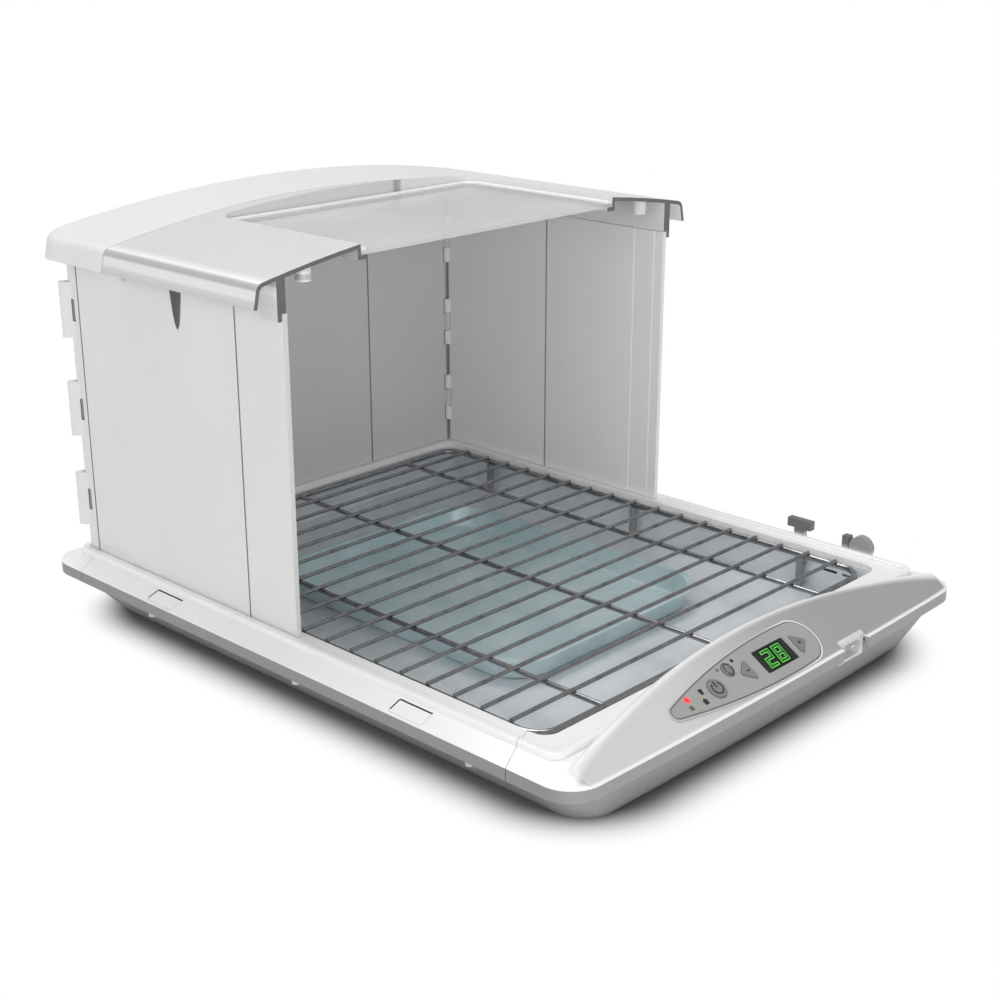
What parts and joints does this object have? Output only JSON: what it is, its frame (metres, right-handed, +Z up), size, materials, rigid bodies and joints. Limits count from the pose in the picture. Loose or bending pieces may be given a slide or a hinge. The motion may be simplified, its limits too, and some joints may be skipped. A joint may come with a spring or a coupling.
{
  "type": "folding dough proofer",
  "caption": "Shallow heated base with a control panel, wire rack and water tray, under a folding box housing and arched lid shown in section.",
  "frame": {"origin": "centre of the footprint on the table", "axes": "+Z up; +X to the right along the control panel; +Y from the control panel at the front to the back"},
  "size_m": [0.368, 0.457, 0.267],
  "materials": {
    "white_shell": "glossy",
    "wall_plastic": "satin",
    "grey_tub": "satin",
    "rubber": "matte",
    "steel": "satin",
    "silver_panel": "satin",
    "button_grey": "satin",
    "display_glass": "glossy",
    "black_plastic": "satin",
    "socket_grey": "satin",
    "light_pipe": "glossy",
    "board": "satin",
    "aluminium_plate": "satin",
    "element_steel": "oxidised",
    "felt": "matte",
    "wire_sleeve": "matte",
    "tray_metal": "satin",
    "rack_chrome": "polished",
    "pane": "clear",
    "window_trim": "glossy"
  },
  "bodies": {
    "base": {"base_pan": "grey_tub", "base_screws": "steel", "rubber_feet": "rubber", "left_rail": "white_shell", "right_rail": "white_shell", "front_cover": "white_shell", "rear_cover": "white_shell", "rail_catches": "white_shell", "rail_lugs": "white_shell", "control_bezel": "silver_panel", "display_window": "display_glass", "display_module": "black_plastic", "light_pipes": "light_pipe", "circuit_board": "board", "tact_switches": "black_plastic", "power_inlet": "socket_grey", "heat_plate": "aluminium_plate", "heating_element": "element_steel", "heater_clips": "steel", "insulation_pad": "felt", "temperature_sensor": "steel", "thermal_fuse": "black_plastic", "wiring": "wire_sleeve"},
    "left_side": {"left_wall": "wall_plastic", "rear_left_pins": "steel"},
    "rear_half_left": {"rear_panel_left": "wall_plastic", "rear_mid_pins": "steel"},
    "rear_half_right": {"rear_panel_right": "wall_plastic"},
    "right_side": {"right_wall": "wall_plastic", "rear_right_pins": "steel"},
    "lid": {"lid_shell": "white_shell", "window_frame": "window_trim", "window_pane": "pane"},
    "rack": {"wire_rack": "rack_chrome", "rack_legs": "rubber"},
    "tray": {"water_tray": "tray_metal"},
    "power_key": {"power_button": "button_grey"},
    "mode_key": {"mode_button": "button_grey"},
    "minus_key": {"minus_button": "button_grey"},
    "plus_key": {"plus_button": "button_grey"}
  },
  "joints": [
    {"name": "housing_lift", "type": "slide", "parent": "base", "child": "left_side", "axis": [0, 0, 1], "range_m": [0, 0.16]},
    {"name": "housing_fold", "type": "hinge", "parent": "left_side", "child": "rear_half_left", "pos_m": [-0.1617, 0.2057, 0.13665], "axis": [0, 0, -1], "range_deg": [0, 90]},
    {"name": "middle_fold", "type": "hinge", "parent": "rear_half_left", "child": "rear_half_right", "pos_m": [0, 0.2091, 0.13665], "axis": [0, 0, 1], "range_deg": [0, 180]},
    {"name": "right_fold", "type": "hinge", "parent": "rear_half_right", "child": "right_side", "pos_m": [0.1617, 0.2057, 0.13665], "axis": [0, 0, -1], "range_deg": [0, 90]},
    {"name": "lid_lift", "type": "slide", "parent": "left_side", "child": "lid", "axis": [0, 0, 1], "range_m": [0, 0.06]},
    {"name": "rack_lift", "type": "slide", "parent": "base", "child": "rack", "axis": [0, 0, 1], "range_m": [0, 0.12]},
    {"name": "tray_lift", "type": "slide", "parent": "base", "child": "tray", "axis": [0, 0, 1], "range_m": [0, 0.006]},
    {"name": "power_press", "type": "slide", "parent": "base", "child": "power_key", "axis": [0, 0.5208, -0.8537], "range_m": [0, 0.0008], "stiffness_N_per_m": 600},
    {"name": "mode_press", "type": "slide", "parent": "base", "child": "mode_key", "axis": [0, 0.5208, -0.8537], "range_m": [0, 0.0008], "stiffness_N_per_m": 600},
    {"name": "minus_press", "type": "slide", "parent": "base", "child": "minus_key", "axis": [0, 0.5208, -0.8537], "range_m": [0, 0.0008], "stiffness_N_per_m": 600},
    {"name": "plus_press", "type": "slide", "parent": "base", "child": "plus_key", "axis": [0, 0.5208, -0.8537], "range_m": [0, 0.0008], "stiffness_N_per_m": 600}
  ],
  "couplings": [
    {"joint": "middle_fold", "follows": "housing_fold", "ratio": 2},
    {"joint": "right_fold", "follows": "housing_fold", "ratio": 1}
  ]
}
